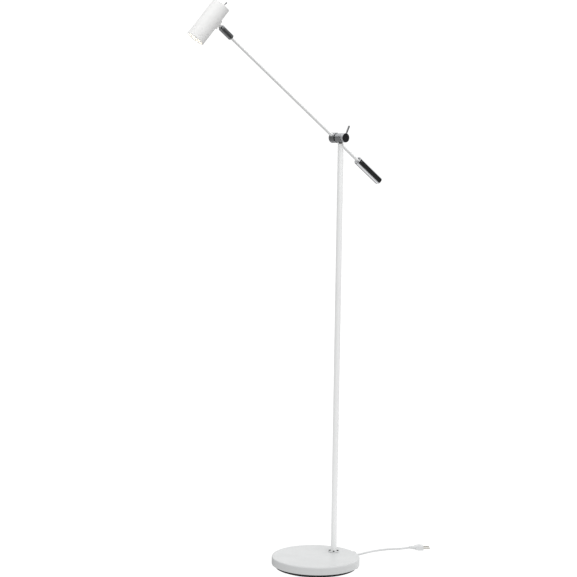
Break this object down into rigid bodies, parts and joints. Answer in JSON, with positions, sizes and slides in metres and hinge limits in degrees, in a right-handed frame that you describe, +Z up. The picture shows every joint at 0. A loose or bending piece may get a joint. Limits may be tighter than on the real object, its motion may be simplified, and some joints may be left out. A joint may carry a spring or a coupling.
{
  "type": "adjustable arm floor lamp",
  "caption": "Floor lamp with a weighted round base, a slim pole and a counterweighted arm that pans, tilts and clamps, carrying a small cylindrical spot head that swivels and tilts.",
  "frame": {"origin": "centre of the base's underside, on the floor", "axes": "+Z up along the pole, -Y to the front where the head is, +X to the right where the clamp knob is"},
  "size_m": [0.303, 0.8434, 1.5698],
  "materials": {
    "white_paint": "smooth satin powder coat",
    "shade_white": "satin lacquer",
    "black_iron": "black lacquer",
    "felt": "pressed felt",
    "chrome": "polished chrome plate",
    "steel": "zinc plated",
    "dark_screw": "blackened steel",
    "nickel": "nickel plate",
    "black_plastic": "moulded, fine matt",
    "clear_nylon": "natural nylon",
    "fibre": "pressed grey fibre",
    "cord_white": "soft PVC sheath",
    "tie_white": "soft PVC",
    "plug_white": "moulded PVC",
    "reflector": "spun and anodised",
    "bulb_glass": "frosted glass",
    "ceramic": "unglazed ceramic"
  },
  "bodies": {
    "stand": {"base_cover": "white_paint", "ballast": "black_iron", "felt_pad": "felt", "foot_flange": "white_paint", "flange_screws": "chrome", "pole_tube": "white_paint", "pole_bush": "clear_nylon", "inner_lead": "cord_white", "cord_clamp": "clear_nylon", "clamp_screws": "steel", "strain_relief": "cord_white", "cord_lead_in": "cord_white", "cord_hank": "cord_white", "cord_tie": "tie_white", "cord_run": "cord_white", "plug_body": "plug_white", "plug_pins": "nickel"},
    "yoke_body": {"yoke": "chrome", "pan_clip": "steel", "friction_washer": "fibre", "spring_washer": "steel", "knob_washer": "steel"},
    "arm": {"arm_hub": "chrome", "hub_end_cap": "chrome", "hub_set_screw": "steel", "pivot_stud": "steel", "arm_tube": "white_paint", "arm_lead": "cord_white", "counterweight": "chrome", "counterweight_screw": "steel", "swivel_spindle": "steel", "swivel_clip": "steel"},
    "clamp": {"clamp_knob": "chrome", "knob_cap": "black_plastic", "clamp_lever": "chrome"},
    "swivel": {"swivel_barrel": "chrome", "swivel_nose": "chrome"},
    "head": {"tilt_pin": "steel", "saddle": "shade_white", "saddle_screws": "dark_screw", "shade_tube": "shade_white", "rear_cap": "shade_white", "reflector": "reflector", "lamp_bulb": "bulb_glass", "lamp_contacts": "nickel", "lamp_holder": "ceramic", "holder_bracket": "steel", "holder_screws": "steel", "head_leads": "cord_white", "switch_body": "black_plastic", "switch_nut": "chrome"},
    "switch": {"switch_lever": "chrome"}
  },
  "joints": [
    {"name": "arm_pan", "type": "hinge", "parent": "stand", "child": "yoke_body", "pos_m": [0, 0.072, 1.218], "axis": [0, 0, 1], "range_deg": [-170, 170]},
    {"name": "arm_tilt", "type": "hinge", "parent": "yoke_body", "child": "arm", "pos_m": [0, 0.072, 1.218], "axis": [-1, 0, 0], "range_deg": [-83, 42]},
    {"name": "clamp_turn", "type": "hinge", "parent": "arm", "child": "clamp", "pos_m": [0.015, 0.072, 1.218], "axis": [1, 0, 0], "range_deg": [-60, 120]},
    {"name": "head_swivel", "type": "hinge", "parent": "arm", "child": "swivel", "pos_m": [-0.0257, -0.33708, 1.48774], "axis": [0, -0.8348, 0.5505], "range_deg": [-150, 150]},
    {"name": "head_tilt", "type": "hinge", "parent": "swivel", "child": "head", "pos_m": [-0.0257, -0.35987, 1.50276], "axis": [0.9537, -0.1655, -0.251], "range_deg": [-50, 50]},
    {"name": "switch_toggle", "type": "hinge", "parent": "head", "child": "switch", "pos_m": [-0.01217, -0.35669, 1.55208], "axis": [0, 0.8348, -0.5505], "range_deg": [-20, 0]}
  ]
}
